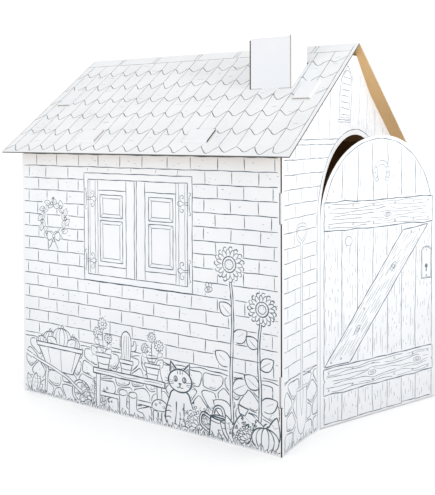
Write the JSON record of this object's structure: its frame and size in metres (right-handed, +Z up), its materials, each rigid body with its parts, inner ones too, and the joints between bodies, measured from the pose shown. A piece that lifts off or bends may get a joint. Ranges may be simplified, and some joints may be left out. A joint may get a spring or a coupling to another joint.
{
  "type": "cardboard playhouse",
  "caption": "Child-size house of folded corrugated board to colour in: two folded wall panels, a ridged roof on lock tabs, a slotted chimney and a round-topped hinged door.",
  "frame": {"origin": "on the floor, midway between the outside faces of the four walls", "axes": "+X along the ridge towards the gable with the door, +Z up, -Y out of the long front wall with the window print"},
  "size_m": [1.2432, 0.932, 1.169],
  "materials": {
    "printed_board": "matt white-faced corrugated board",
    "plain_board": "matt white-faced corrugated board, not printed"
  },
  "bodies": {
    "house": {"front_wall_panel": "printed_board", "back_wall_panel": "printed_board", "roof_panel": "printed_board", "chimney_shell": "plain_board", "chimney_front": "plain_board"},
    "door": {"door_leaf": "printed_board"}
  },
  "joints": [
    {"name": "door_hinge", "type": "hinge", "parent": "house", "child": "door", "pos_m": [0.5, -0.186, 0], "axis": [0, 0, -1], "range_deg": [-22.7, 127.3]}
  ]
}
